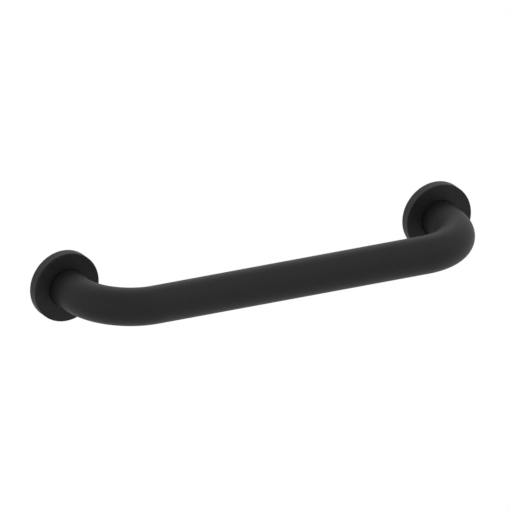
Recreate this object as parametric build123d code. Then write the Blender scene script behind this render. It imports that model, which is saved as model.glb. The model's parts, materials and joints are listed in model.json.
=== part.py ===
from build123d import *
import os

# A wall grab bar: a bent tube with a mounting plate welded on at each end, and a drawn cover that slips
# along the tube and over each plate to hide its screws.
# Frame: the wall is the plane Y = 0, the bar stands off towards -Y, the grip runs along X and Z is up.
# The origin lies on the wall, half-way between the two legs. All sizes are in millimetres.

# Tube
TUBE_DIAMETER = 32.0
TUBE_WALL = 1.5
LEG_CENTRES = 348.0
REACH = 74.0  # from the wall to the grip's axis
BEND_RADIUS = 48.0  # at the tube's axis

# Cover, a shallow cup drawn from sheet
COVER_DIAMETER = 60.0
COVER_DEPTH = 9.0
COVER_SHEET = 0.8
COVER_INSIDE_RADIUS = 0.2  # where the front turns into the skirt
COVER_LIP_RADIUS = 0.2  # at the edge of the tube's hole
COVER_CLEARANCE = 0.3  # on the radius, round the tube and round the plate

# Mounting plate and its weld
PLATE_THICKNESS = 3.0
PLATE_LEAD_IN = 0.5  # chamfer that guides the cover on
WELD_LEG = 2.0
WELD_GAP = 0.1  # on the radius, between the tube and the plate

# Wall screws
SCREW_HOLE_DIAMETER = 5.0
SCREWS_PER_PLATE = 3

# Each end: the sign of X, and the direction of the plate's outer screw hole in degrees from +X towards +Z
ENDS = {"left": (-1, 180), "right": (1, 0)}

# Sizes that follow from those above
tube_radius = TUBE_DIAMETER / 2
cover_radius = COVER_DIAMETER / 2
cover_hole_radius = tube_radius + COVER_CLEARANCE
plate_radius = cover_radius - COVER_SHEET - COVER_CLEARANCE
plate_bore_radius = tube_radius + WELD_GAP
weld_toe_radius = plate_bore_radius + WELD_LEG
screw_circle_radius = (weld_toe_radius + plate_radius) / 2


def foot(side):
    """The wall plane at the foot of a leg, facing away from the wall with local Y up."""
    return Plane(origin=(side * LEG_CENTRES / 2, 0, 0), x_dir=(1, 0, 0), z_dir=(0, -1, 0))


def turned(profile):
    """Solid of revolution about the local Z axis of a profile drawn as radius and height."""
    return revolve(Plane.XZ * profile, axis=Axis.Z)


def cup_section(radius, depth, corner_radius):
    """Half section of a solid cup that stands on the wall, with its front edge rounded."""
    section = Rectangle(radius, depth, align=Align.MIN)
    front_edge = section.vertices().sort_by_distance((0, 0))[-1]
    return fillet(front_edge, corner_radius)


def make_tube():
    """Grip and legs in one bent hollow tube, open at both feet."""
    half = LEG_CENTRES / 2
    corners = [(-half, 0, 0), (-half, -REACH, 0), (half, -REACH, 0), (half, 0, 0)]
    route = FilletPolyline(*corners, radius=BEND_RADIUS)
    ring = Circle(tube_radius) - Circle(tube_radius - TUBE_WALL)
    return sweep(foot(-1) * ring, path=route)


def make_cover():
    """Drawn cup with a flat front, a straight skirt down to the wall and a hole for the tube."""
    outside = cup_section(cover_radius, COVER_DEPTH, COVER_INSIDE_RADIUS + COVER_SHEET)
    inside = cup_section(cover_radius - COVER_SHEET, COVER_DEPTH - COVER_SHEET, COVER_INSIDE_RADIUS)
    tube_hole = Rectangle(cover_hole_radius, COVER_DEPTH, align=Align.MIN)
    section = outside - inside - tube_hole
    hole_lip = section.vertices().group_by(Axis.Y)[-1].sort_by(Axis.X)[0]
    return turned(fillet(hole_lip, COVER_LIP_RADIUS))


def make_plate(outer_hole_angle):
    """Disc on the tube's end, with the fillet weld round the tube and a ring of plain screw holes."""
    outline = Polyline(
        (plate_bore_radius, 0),
        (plate_radius, 0),
        (plate_radius, PLATE_THICKNESS - PLATE_LEAD_IN),
        (plate_radius - PLATE_LEAD_IN, PLATE_THICKNESS),
        (weld_toe_radius, PLATE_THICKNESS),
        (plate_bore_radius, PLATE_THICKNESS + WELD_LEG),
        close=True,
    )
    drill = Cylinder(
        SCREW_HOLE_DIAMETER / 2,
        PLATE_THICKNESS,
        align=(Align.CENTER, Align.CENTER, Align.MIN),
    )
    hole_places = PolarLocations(screw_circle_radius, SCREWS_PER_PLATE, start_angle=outer_hole_angle)
    return turned(make_face(outline)) - hole_places * drill


os.makedirs("parts", exist_ok=True)
export_step(make_tube(), "parts/grip_tube.step")
for end, (side, outer_hole_angle) in ENDS.items():
    export_step(foot(side) * make_cover(), f"parts/{end}_cover.step")
    export_step(foot(side) * make_plate(outer_hole_angle), f"parts/{end}_mounting_plate.step")
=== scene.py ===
import json
import math
from itertools import accumulate
from statistics import fmean

import bmesh
import bpy
from mathutils import Matrix, Vector


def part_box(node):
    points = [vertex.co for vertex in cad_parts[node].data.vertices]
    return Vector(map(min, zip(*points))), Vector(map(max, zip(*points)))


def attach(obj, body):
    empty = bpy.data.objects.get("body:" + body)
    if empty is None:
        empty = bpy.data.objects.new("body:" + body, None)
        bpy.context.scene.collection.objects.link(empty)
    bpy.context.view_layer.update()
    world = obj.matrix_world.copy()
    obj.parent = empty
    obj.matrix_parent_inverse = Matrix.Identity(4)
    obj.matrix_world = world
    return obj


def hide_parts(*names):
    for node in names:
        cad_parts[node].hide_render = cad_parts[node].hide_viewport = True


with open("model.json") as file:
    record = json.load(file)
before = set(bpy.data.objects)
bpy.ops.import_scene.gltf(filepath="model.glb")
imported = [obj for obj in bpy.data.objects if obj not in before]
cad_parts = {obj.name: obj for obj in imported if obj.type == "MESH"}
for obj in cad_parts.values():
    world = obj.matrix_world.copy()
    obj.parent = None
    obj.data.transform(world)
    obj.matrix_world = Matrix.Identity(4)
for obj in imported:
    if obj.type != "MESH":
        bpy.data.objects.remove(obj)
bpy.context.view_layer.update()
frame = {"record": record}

# The photograph's frame, in pixels, and where the middle of the bar lies in it
IMAGE_WIDTH = 508
IMAGE_HEIGHT = 509
BAR_MIDDLE_PIXEL = (269.09, 264.69)
PIXELS_PER_METRE = 1210.7

# The photograph's view, in degrees, and the camera's distance in metres
VIEW_AZIMUTH = -28.27
VIEW_ELEVATION = 22.01
VIEW_ROLL = 0.93
CAMERA_DISTANCE = 1.5

# The record's unit of length, in metres
MILLIMETRE = 0.001

# Sizes that the frame gives, in metres
tube_low, tube_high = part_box("grip_tube")
cover_low, cover_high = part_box("right_cover")
plate_low, plate_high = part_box("right_mounting_plate")
mounts = {mount["name"]: mount for mount in frame["record"]["mounts"]}
screw_pattern = mounts["right_plate_screws"]["dims"]
tube_radius = tube_high.z
leg_x = (cover_low.x + cover_high.x) / 2
reach = -tube_low.y - tube_radius
cover_radius = cover_high.z
cover_depth = -cover_low.y
plate_radius = plate_high.z
weld_top = -plate_low.y
screw_circle_radius = screw_pattern["pcd_mm"] / 2 * MILLIMETRE
screw_hole_radius = screw_pattern["hole_r_mm"] * MILLIMETRE
screw_count = screw_pattern["count"]

# Sizes that lie inside the pieces, in metres
TUBE_WALL = 0.0015
BEND_RADIUS = 0.048
COVER_SHEET = 0.0008
COVER_CLEARANCE = 0.0003
PLATE_THICKNESS = 0.003
PLATE_LEAD_IN = 0.0005
WELD_GAP = 0.0001

# Edge roundings, in metres
CUT_EDGE_RADIUS = 0.0002
COVER_FRONT_RADIUS = 0.0010
COVER_INSIDE_RADIUS = 0.0002
HOLE_CHAMFER = 0.0003

# Weld bead, in metres: how far it swells, the pitch of its ripples, and how far its root lies in the joint
WELD_SWELL = 0.0005
RIPPLE_PITCH = 0.0013
WELD_ROOT = 0.0002
# Its ripples' depth as a share of the swell, and how far their middle leads as a share of the pitch
RIPPLE_DEPTH = 0.45
RIPPLE_LEAD = 0.6

# Mesh fineness: the longest step along the tube in metres, numbers of steps, and the angle of a sharp edge
TUBE_STATION_STEP = 0.0025
RING_STEPS = 128
COVER_STEPS = 192
HOLE_STEPS = 48
ARC_STEPS = 6
WELD_STEPS_ACROSS = 10
WELD_STEPS_PER_RIPPLE = 6
SHARP_ANGLE = math.radians(35)

# Layout for baked textures: its name, and the share of its side between strips
BAKE_MAP = "OFBake"
BAKE_GAP = 0.02
# The corners of a face in the order that skin makes them: which side of its column, and which end of its row
FACE_CORNERS = ((0, 0), (1, 0), (1, 1), (0, 1))

# Lengths that follow from those above
leg_length = reach - BEND_RADIUS
bend_length = BEND_RADIUS * math.pi / 2
grip_length = 2 * (leg_x - BEND_RADIUS)
tube_length = 2 * (leg_length + bend_length) + grip_length
cover_hole_radius = tube_radius + COVER_CLEARANCE
plate_bore_radius = tube_radius + WELD_GAP
weld_leg = weld_top - PLATE_THICKNESS

# Matte black coat: its darkest and palest pigment, roughness and shine, and the height of its peel in metres
COAT_DARKEST = 0.002
COAT_PALEST = 0.007
COAT_ROUGHNESS = (0.50, 0.60)
COAT_SPECULAR = 0.25
ORANGE_PEEL = 0.000012
# Its features per metre, and how many finer layers they have
PIGMENT_GRAIN = 1500
SHEEN_GRAIN = 1100
PEEL_WAVES = 700
GRAIN_DETAIL = 3
PEEL_DETAIL = 4

# Bare bore: its steel, the overspray on it, and the depths in metres between which that thins out
STEEL_COLOUR = (0.32, 0.31, 0.30, 1)
STEEL_ROUGHNESS = 0.35
OVERSPRAY_ROUGHNESS = 0.6
OVERSPRAY_FULL_DEPTH = 0.004
OVERSPRAY_END_DEPTH = 0.034
# The overspray's patches per metre, their finer layers, and how far they shift those depths in metres
PATCHES = 400
PATCH_DETAIL = 4
PATCH_SHIFT = 0.006

# The range that holds most values of a noise
NOISE_RANGE = (0.3, 0.7)

# Studio floor: its height and size in metres, its pale grey, and the share of its white that shows shadows
FLOOR_HEIGHT = -0.65
FLOOR_SIZE = 40
FLOOR_PALE = 0.8
FLOOR_SHADE = 0.3

# Light levels, as the share of full white that each light gives to a white surface facing it
AMBIENT_LEVEL = 1.0
LAMP_ANGLE = math.radians(60)
# Each lamp: its azimuth from the front towards +X and its elevation, in degrees, and its level
LAMPS = {
    "key_lamp": (45, 45, 0.10),
    "side_lamp": (-90, 15, 0.08),
    "back_lamp": (180, 30, 0.12),
}


def turned_angles(count):
    """Evenly spaced angles of a whole turn."""
    return [2 * math.pi * i / count for i in range(count)]


def ring(centre, radius, height, count):
    """Points of a circle that lies parallel to the wall, at a height above it."""
    return [
        centre + Vector((radius * math.cos(angle), -height, radius * math.sin(angle)))
        for angle in turned_angles(count)
    ]


def rounded(corners):
    """Closed outline through corners given as x, y and rounding radius."""
    outline = []
    for i, (x, y, radius) in enumerate(corners):
        corner = Vector((x, y))
        before = (Vector(corners[i - 1][:2]) - corner).normalized()
        after = (Vector(corners[(i + 1) % len(corners)][:2]) - corner).normalized()
        half_angle = before.angle(after) / 2
        centre = corner + (before + after).normalized() * radius / math.sin(half_angle)
        start = (corner + before * radius / math.tan(half_angle) - centre).normalized()
        end = (corner + after * radius / math.tan(half_angle) - centre).normalized()
        for step in range(ARC_STEPS + 1):
            outline.append(centre + radius * start.slerp(end, step / ARC_STEPS))
    return outline


def evenly(outline, longest):
    """The closed outline with points added along the edges that are longer than a given step."""
    points = []
    for i, point in enumerate(outline):
        following = outline[(i + 1) % len(outline)]
        count = max(1, math.ceil((following - point).length / longest))
        points += [point.lerp(following, step / count) for step in range(count)]
    return points


def skin(bm, rows, closed):
    """Band of faces over rows of points, each row a loop. A closed skin joins its last row to its first."""
    loops = [[bm.verts.new(point) for point in row] for row in rows]
    pairs = list(zip(loops, loops[1:]))
    if closed:
        pairs.append((loops[-1], loops[0]))
    for low, high in pairs:
        for i in range(len(low)):
            bm.faces.new((low[i - 1], low[i], high[i], high[i - 1]))
    return loops


def lay_flat(bm, rows):
    """Lays a closed skin flat for baked textures, as a band cut into strips that lie one above the other."""
    count = len(rows[0])
    steps = [
        fmean((there - here).length for here, there in zip(row, following))
        for row, following in zip(rows, rows[1:] + rows[:1])
    ]
    girth = fmean(sum((row[i] - row[i - 1]).length for i in range(count)) for row in rows)
    profile = sum(steps)
    row_ends = [0, *accumulate(steps)]
    cut_around = girth > profile
    strips = round(math.sqrt(max(girth, profile) / min(girth, profile)))
    edge = strips * BAKE_GAP / 2
    layer = bm.loops.layers.uv.new(BAKE_MAP)
    for index, face in enumerate(bm.faces):
        row, column = divmod(index, count)
        before = (column - 1) % count
        around = (before / count, (before + 1) / count)
        along = (row_ends[row] / profile, row_ends[row + 1] / profile)
        strip = int(strips * fmean(around if cut_around else along))
        for loop, (side, end) in zip(face.loops, FACE_CORNERS):
            lengthwise = around[side] if cut_around else along[end]
            crosswise = along[end] if cut_around else around[side]
            loop[layer].uv = (
                BAKE_GAP + (1 - 2 * BAKE_GAP) * (strips * lengthwise - strip),
                (strip + edge + (1 - 2 * edge) * crosswise) / strips,
            )


def make_piece(name, bm, materials, body, node):
    """Turns a finished mesh into a piece that rides on its body in place of a node."""
    bmesh.ops.recalc_face_normals(bm, faces=bm.faces)
    mesh = bpy.data.meshes.new(name)
    bm.to_mesh(mesh)
    bm.free()
    mesh.shade_smooth()
    mesh.set_sharp_from_angle(angle=SHARP_ANGLE)
    for material in materials:
        mesh.materials.append(material)
    piece = bpy.data.objects.new(name, mesh)
    bpy.context.scene.collection.objects.link(piece)
    even_shading = piece.modifiers.new("even_shading", "WEIGHTED_NORMAL")
    even_shading.keep_sharp = True
    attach(piece, body)
    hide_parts(node)


def tube_ring(distance, radius):
    """Ring round the tube's axis at a distance from the left foot, measured along the axis."""
    mirror = 1
    if distance > tube_length / 2:
        mirror = -1
        distance = tube_length - distance
    turn = min(max(distance - leg_length, 0) / BEND_RADIUS, math.pi / 2)
    outward = Vector((-math.cos(turn), -math.sin(turn), 0))
    bend_centre = Vector((BEND_RADIUS - leg_x, -leg_length, 0))
    before_bend = max(leg_length - distance, 0)
    past_bend = max(distance - leg_length - bend_length, 0)
    centre = bend_centre + BEND_RADIUS * outward + Vector((past_bend, before_bend, 0))
    # The first point lies inside the bend, where the seam of the baked textures is out of sight
    points = [
        centre - radius * (math.cos(angle) * outward + math.sin(angle) * Vector((0, 0, 1)))
        for angle in turned_angles(RING_STEPS)
    ]
    return [Vector((mirror * point.x, point.y, point.z)) for point in points]


def make_tube(coat, bore_steel):
    """Bent hollow tube from wall to wall, coated outside, with the bare bore as its second material."""
    bore_radius = tube_radius - TUBE_WALL
    outline = rounded([
        (0, tube_radius, CUT_EDGE_RADIUS),
        (tube_length, tube_radius, CUT_EDGE_RADIUS),
        (tube_length, bore_radius, CUT_EDGE_RADIUS),
        (0, bore_radius, CUT_EDGE_RADIUS),
    ])
    stations = evenly(outline, TUBE_STATION_STEP)
    rows = [tube_ring(*station) for station in stations]
    bm = bmesh.new()
    loops = skin(bm, rows, closed=True)
    lay_flat(bm, rows)
    in_bore = set()
    for loop, station in zip(loops, stations):
        if station.y < bore_radius + CUT_EDGE_RADIUS:
            in_bore.update(loop)
    for face in bm.faces:
        face.material_index = int(in_bore.issuperset(face.verts))
    make_piece("bar_tube", bm, [coat, bore_steel], "bar", "grip_tube")


def make_cover(end, foot, coat):
    """Drawn cup with a flat front, a straight skirt and a hole for the tube."""
    inside_radius = cover_radius - COVER_SHEET
    inside_depth = cover_depth - COVER_SHEET
    outline = rounded([
        (cover_radius, 0, CUT_EDGE_RADIUS),
        (cover_radius, cover_depth, COVER_FRONT_RADIUS),
        (cover_hole_radius, cover_depth, CUT_EDGE_RADIUS),
        (cover_hole_radius, inside_depth, CUT_EDGE_RADIUS),
        (inside_radius, inside_depth, COVER_INSIDE_RADIUS),
        (inside_radius, 0, CUT_EDGE_RADIUS),
    ])
    rows = [ring(foot, radius, height, COVER_STEPS) for radius, height in outline]
    bm = bmesh.new()
    skin(bm, rows, closed=True)
    lay_flat(bm, rows)
    make_piece(f"{end}_cover_cup", bm, [coat], f"{end}_cover", f"{end}_cover")


def make_plate(end, foot, outward, coat):
    """Disc on the tube's end with its bore and a ring of screw holes, every edge chamfered."""
    screw_centres = [
        foot + screw_circle_radius * Vector((outward * math.cos(angle), 0, math.sin(angle)))
        for angle in turned_angles(screw_count)
    ]
    # Each wall: its centre, radius, 1 or -1 for metal outside or inside it, its front chamfer and its steps
    walls = [
        (foot, plate_radius, -1, PLATE_LEAD_IN, RING_STEPS),
        (foot, plate_bore_radius, 1, CUT_EDGE_RADIUS, RING_STEPS),
    ]
    walls += [(centre, screw_hole_radius, 1, HOLE_CHAMFER, HOLE_STEPS) for centre in screw_centres]
    bm = bmesh.new()
    back_loops = []
    front_loops = []
    for centre, radius, metal, front_chamfer, count in walls:
        profile = [
            (radius + metal * CUT_EDGE_RADIUS, 0),
            (radius, CUT_EDGE_RADIUS),
            (radius, PLATE_THICKNESS - front_chamfer),
            (radius + metal * front_chamfer, PLATE_THICKNESS),
        ]
        loops = skin(bm, [ring(centre, r, height, count) for r, height in profile], closed=False)
        back_loops.append(loops[0])
        front_loops.append(loops[-1])
    for face_loops in (back_loops, front_loops):
        edges = [bm.edges.get((loop[i - 1], loop[i])) for loop in face_loops for i in range(len(loop))]
        bmesh.ops.triangle_fill(bm, edges=edges, use_beauty=True)
    make_piece(f"{end}_plate", bm, [coat], "bar", f"{end}_mounting_plate")


def make_weld(end, foot, coat):
    """Fillet weld between tube and plate, a swelling bead of overlapping ripples under the coat."""
    ripples = round(2 * math.pi * (tube_radius + weld_leg / 2) / RIPPLE_PITCH)
    rows = []
    for step in range(WELD_STEPS_ACROSS + 1):
        across = step / WELD_STEPS_ACROSS
        arch = math.sin(math.pi * across)
        row = []
        for angle in turned_angles(ripples * WELD_STEPS_PER_RIPPLE):
            phase = (ripples * angle / (2 * math.pi) + RIPPLE_LEAD * arch) % 1
            crest = 4 * phase * (1 - phase)
            swell = WELD_SWELL * arch * (1 - RIPPLE_DEPTH + RIPPLE_DEPTH * crest)
            radius = tube_radius + weld_leg * across + swell
            height = weld_top - weld_leg * across + swell
            row.append(foot + Vector((radius * math.cos(angle), -height, radius * math.sin(angle))))
        rows.append(row)
    rows.append(ring(foot, tube_radius - WELD_ROOT, PLATE_THICKNESS - WELD_ROOT, len(rows[0])))
    bm = bmesh.new()
    skin(bm, rows, closed=True)
    lay_flat(bm, rows)
    make_piece(f"{end}_weld", bm, [coat], "bar", f"{end}_mounting_plate")


def grey(level):
    """An opaque grey."""
    return (level, level, level, 1)


def add_place(tree):
    """A point's place in the frame, in metres, which is also its place on the piece."""
    return tree.nodes.new("ShaderNodeTexCoord").outputs["Object"]


def add_noise(tree, features_per_metre, detail):
    """Cloudy noise with its middle values near one half."""
    noise = tree.nodes.new("ShaderNodeTexNoise")
    noise.inputs["Scale"].default_value = features_per_metre
    noise.inputs["Detail"].default_value = detail
    tree.links.new(add_place(tree), noise.inputs["Vector"])
    return noise.outputs["Fac"]


def add_range(tree, value, before, after):
    """Maps a value smoothly from one range onto another."""
    mapped = tree.nodes.new("ShaderNodeMapRange")
    mapped.interpolation_type = "SMOOTHSTEP"
    mapped.inputs["From Min"].default_value = before[0]
    mapped.inputs["From Max"].default_value = before[1]
    mapped.inputs["To Min"].default_value = after[0]
    mapped.inputs["To Max"].default_value = after[1]
    tree.links.new(value, mapped.inputs["Value"])
    return mapped.outputs["Result"]


def add_ramp(tree, value, start, end):
    """Maps a value from 0 to 1 onto the colours between two."""
    ramp = tree.nodes.new("ShaderNodeValToRGB")
    ramp.color_ramp.elements[0].color = start
    ramp.color_ramp.elements[1].color = end
    tree.links.new(value, ramp.inputs["Fac"])
    return ramp.outputs["Color"]


def new_material(name):
    """A material with its node tree and its one shader."""
    material = bpy.data.materials.new(name)
    material.use_nodes = True
    return material, material.node_tree, material.node_tree.nodes["Principled BSDF"]


def make_coat():
    """Matte black powder coat, with fine grain in its pigment and sheen and a shallow orange peel."""
    material, tree, shader = new_material("matte_black_coat")
    shader.inputs["Specular IOR Level"].default_value = COAT_SPECULAR
    grain = add_range(tree, add_noise(tree, PIGMENT_GRAIN, GRAIN_DETAIL), NOISE_RANGE, (0, 1))
    pigment = add_ramp(tree, grain, grey(COAT_DARKEST), grey(COAT_PALEST))
    tree.links.new(pigment, shader.inputs["Base Color"])
    sheen = add_range(tree, add_noise(tree, SHEEN_GRAIN, GRAIN_DETAIL), NOISE_RANGE, COAT_ROUGHNESS)
    tree.links.new(sheen, shader.inputs["Roughness"])
    orange_peel = tree.nodes.new("ShaderNodeBump")
    orange_peel.inputs["Distance"].default_value = ORANGE_PEEL
    tree.links.new(add_noise(tree, PEEL_WAVES, PEEL_DETAIL), orange_peel.inputs["Height"])
    tree.links.new(orange_peel.outputs["Normal"], shader.inputs["Normal"])
    return material


def make_bore_steel():
    """Bare drawn steel inside the tube, with black overspray that thins out from its open ends in patches."""
    material, tree, shader = new_material("bore_steel")
    split = tree.nodes.new("ShaderNodeSeparateXYZ")
    tree.links.new(add_place(tree), split.inputs["Vector"])
    noise = add_noise(tree, PATCHES, PATCH_DETAIL)
    patchy = tree.nodes.new("ShaderNodeMath")
    patchy.operation = "ADD"
    tree.links.new(split.outputs["Y"], patchy.inputs[0])
    tree.links.new(add_range(tree, noise, NOISE_RANGE, (-PATCH_SHIFT, PATCH_SHIFT)), patchy.inputs[1])
    depths = (-OVERSPRAY_END_DEPTH, -OVERSPRAY_FULL_DEPTH)
    dusted = add_range(tree, patchy.outputs["Value"], depths, (0, 1))
    colour = add_ramp(tree, dusted, STEEL_COLOUR, grey(COAT_PALEST))
    tree.links.new(colour, shader.inputs["Base Color"])
    tree.links.new(add_range(tree, dusted, (0, 1), (1, 0)), shader.inputs["Metallic"])
    roughness = add_range(tree, dusted, (0, 1), (STEEL_ROUGHNESS, OVERSPRAY_ROUGHNESS))
    tree.links.new(roughness, shader.inputs["Roughness"])
    return material


def seen_as_white(tree):
    """Factor that is 1 for what the eye sees: straight from the camera, or by way of gloss or glass."""
    path = tree.nodes.new("ShaderNodeLightPath")
    factor = path.outputs["Is Camera Ray"]
    for ray in ("Is Glossy Ray", "Is Transmission Ray"):
        either = tree.nodes.new("ShaderNodeMath")
        either.operation = "MAXIMUM"
        tree.links.new(factor, either.inputs[0])
        tree.links.new(path.outputs[ray], either.inputs[1])
        factor = either.outputs["Value"]
    return factor


def make_world():
    """White surround that lights the object at a plain level."""
    world = bpy.data.worlds.new("studio")
    bpy.context.scene.world = world
    world.use_nodes = True
    background = world.node_tree.nodes["Background"]
    background.inputs["Color"].default_value = grey(1)
    background.inputs["Strength"].default_value = AMBIENT_LEVEL


def make_lamps():
    """Soft far lamps, which add their level to a white surface that faces them."""
    for name, (azimuth, elevation, level) in LAMPS.items():
        data = bpy.data.lights.new(name, "SUN")
        data.energy = math.pi * level
        data.angle = LAMP_ANGLE
        lamp = bpy.data.objects.new(name, data)
        lamp.rotation_euler = (math.radians(90 - elevation), 0, math.radians(azimuth))
        bpy.context.scene.collection.objects.link(lamp)


def make_floor():
    """Plain pale floor that shows white and keeps the object's shadow."""
    light_on_floor = AMBIENT_LEVEL
    for _, elevation, level in LAMPS.values():
        light_on_floor += level * math.sin(math.radians(elevation))
    material = bpy.data.materials.new("pale_floor")
    material.use_nodes = True
    # Sampled as a lamp, the glow would be dark, because it shows only to the rays that seen_as_white names
    material.cycles.emission_sampling = "NONE"
    tree = material.node_tree
    tree.nodes.clear()
    pale = tree.nodes.new("ShaderNodeBsdfDiffuse")
    pale.inputs["Color"].default_value = grey(FLOOR_PALE)
    # The glow makes up what the lit share lacks to full white
    glow = tree.nodes.new("ShaderNodeEmission")
    glow.inputs["Strength"].default_value = 1 - FLOOR_SHADE * light_on_floor
    shaded = tree.nodes.new("ShaderNodeBsdfDiffuse")
    shaded.inputs["Color"].default_value = grey(FLOOR_SHADE)
    white = tree.nodes.new("ShaderNodeAddShader")
    tree.links.new(glow.outputs["Emission"], white.inputs[0])
    tree.links.new(shaded.outputs["BSDF"], white.inputs[1])
    mix = tree.nodes.new("ShaderNodeMixShader")
    tree.links.new(seen_as_white(tree), mix.inputs["Fac"])
    tree.links.new(pale.outputs["BSDF"], mix.inputs[1])
    tree.links.new(white.outputs["Shader"], mix.inputs[2])
    output = tree.nodes.new("ShaderNodeOutputMaterial")
    tree.links.new(mix.outputs["Shader"], output.inputs["Surface"])
    bm = bmesh.new()
    bmesh.ops.create_grid(bm, size=FLOOR_SIZE / 2, matrix=Matrix.Translation((0, 0, FLOOR_HEIGHT)))
    mesh = bpy.data.meshes.new("floor")
    bm.to_mesh(mesh)
    bm.free()
    mesh.materials.append(material)
    floor = bpy.data.objects.new("floor", mesh)
    bpy.context.scene.collection.objects.link(floor)


def make_camera():
    """Orthographic camera at the photograph's angle, with the bar where the photograph has it."""
    azimuth = math.radians(VIEW_AZIMUTH)
    elevation = math.radians(VIEW_ELEVATION)
    back = Vector((
        math.sin(azimuth) * math.cos(elevation),
        -math.cos(azimuth) * math.cos(elevation),
        math.sin(elevation),
    ))
    level_right = Vector((math.cos(azimuth), math.sin(azimuth), 0))
    right = Matrix.Rotation(math.radians(VIEW_ROLL), 3, back) @ level_right
    up = back.cross(right)
    offset_x = (BAR_MIDDLE_PIXEL[0] - IMAGE_WIDTH / 2) / PIXELS_PER_METRE
    offset_y = (BAR_MIDDLE_PIXEL[1] - IMAGE_HEIGHT / 2) / PIXELS_PER_METRE
    bar_middle = Vector((0, -reach / 2, 0))
    data = bpy.data.cameras.new("camera")
    data.type = "ORTHO"
    data.ortho_scale = max(IMAGE_WIDTH, IMAGE_HEIGHT) / PIXELS_PER_METRE
    camera = bpy.data.objects.new("camera", data)
    camera.location = bar_middle - offset_x * right + offset_y * up + CAMERA_DISTANCE * back
    camera.rotation_mode = "QUATERNION"
    camera.rotation_quaternion = Matrix((right, up, back)).transposed().to_quaternion()
    bpy.context.scene.collection.objects.link(camera)
    bpy.context.scene.camera = camera


coat = make_coat()
make_tube(coat, make_bore_steel())
for end, outward in (("left", -1), ("right", 1)):
    foot = Vector((outward * leg_x, 0, 0))
    make_cover(end, foot, coat)
    make_plate(end, foot, outward, coat)
    make_weld(end, foot, coat)
make_world()
make_lamps()
make_floor()
make_camera()

bpy.context.scene.view_settings.view_transform = "Standard"
